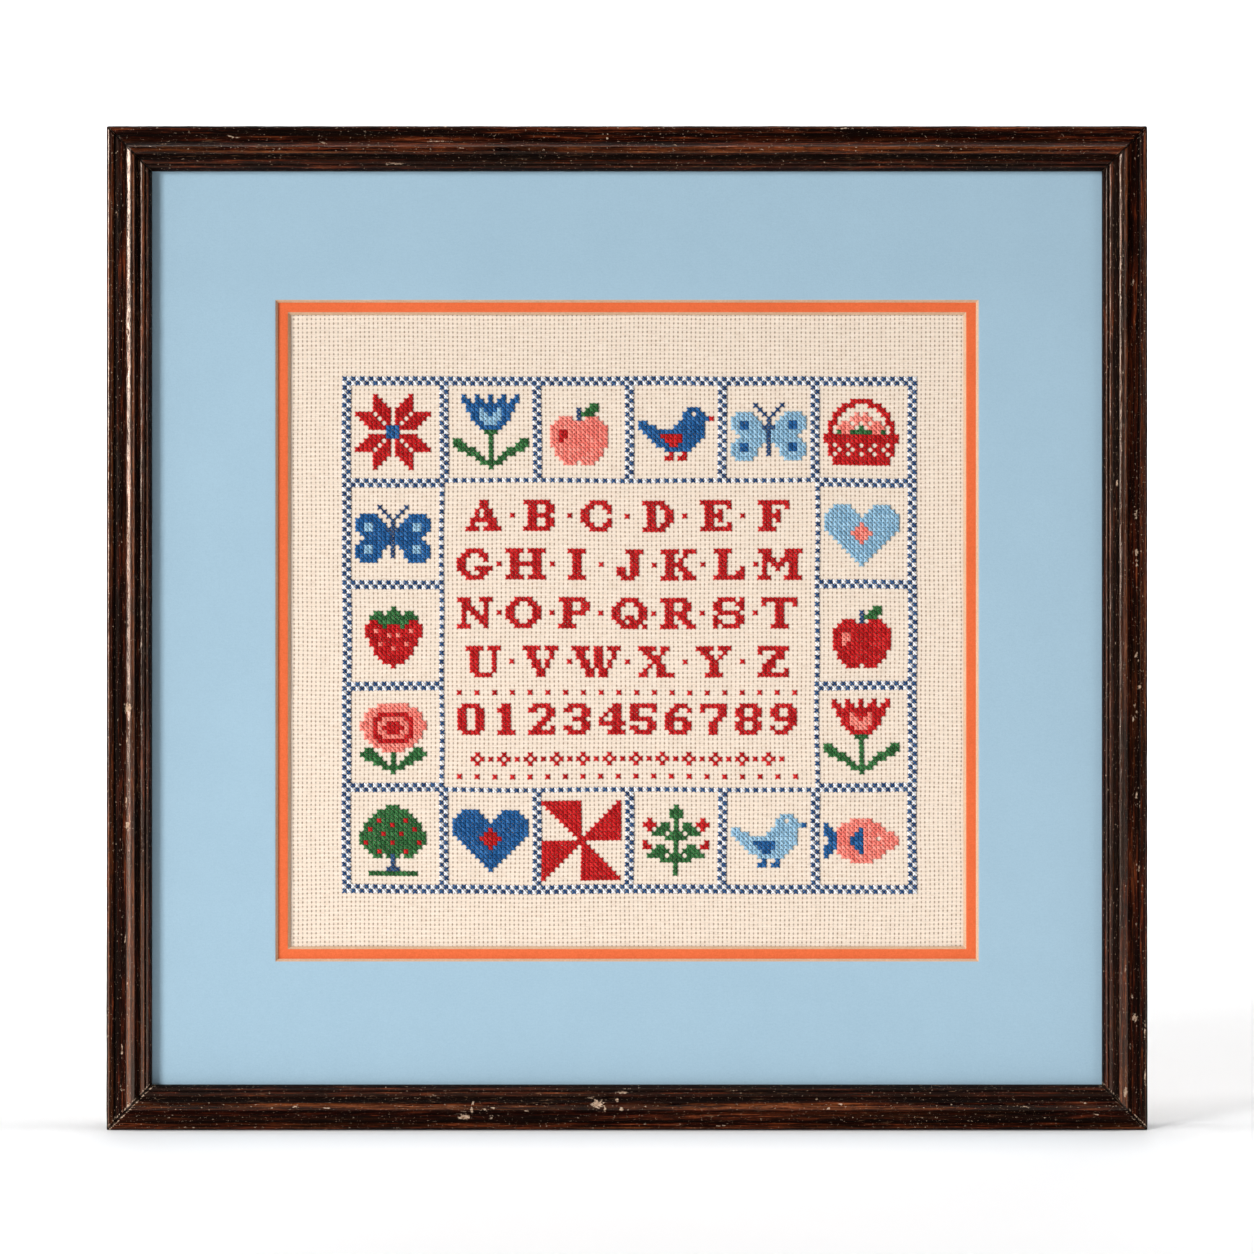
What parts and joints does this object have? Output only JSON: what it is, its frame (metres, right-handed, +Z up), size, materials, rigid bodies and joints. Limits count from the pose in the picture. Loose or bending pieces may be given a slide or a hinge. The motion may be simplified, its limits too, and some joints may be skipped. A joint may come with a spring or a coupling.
{
  "type": "framed cross stitch sampler",
  "caption": "Stitched alphabet sampler on aida cloth behind a blue and an orange bevelled mat, in a reeded dark wood frame that stands on its bottom edge.",
  "frame": {"origin": "middle of the bottom edge, halfway through the frame's depth", "axes": "+Z up, +X to the right seen from the front, stitched face towards -Y"},
  "size_m": [0.424, 0.0216, 0.409],
  "materials": {
    "frame_wood": "dark stained, worn semi-gloss varnish",
    "blue_mat_board": "matte paper face, pale core at the bevel",
    "orange_mat_board": "matte paper face, pale core at the bevel",
    "aida_cotton": "cream fourteen-count aida weave",
    "hardboard": "raw hardboard",
    "red_thread": "stranded cotton",
    "royal_blue_thread": "stranded cotton",
    "navy_thread": "stranded cotton",
    "sky_blue_thread": "stranded cotton",
    "pink_thread": "stranded cotton",
    "green_thread": "stranded cotton",
    "white_thread": "stranded cotton"
  },
  "bodies": {
    "root": {"rail_top": "frame_wood", "rail_bottom": "frame_wood", "rail_left": "frame_wood", "rail_right": "frame_wood", "outer_mat": "blue_mat_board", "inner_mat": "orange_mat_board", "aida_cloth": "aida_cotton", "backing_board": "hardboard"}
  },
  "joints": []
}
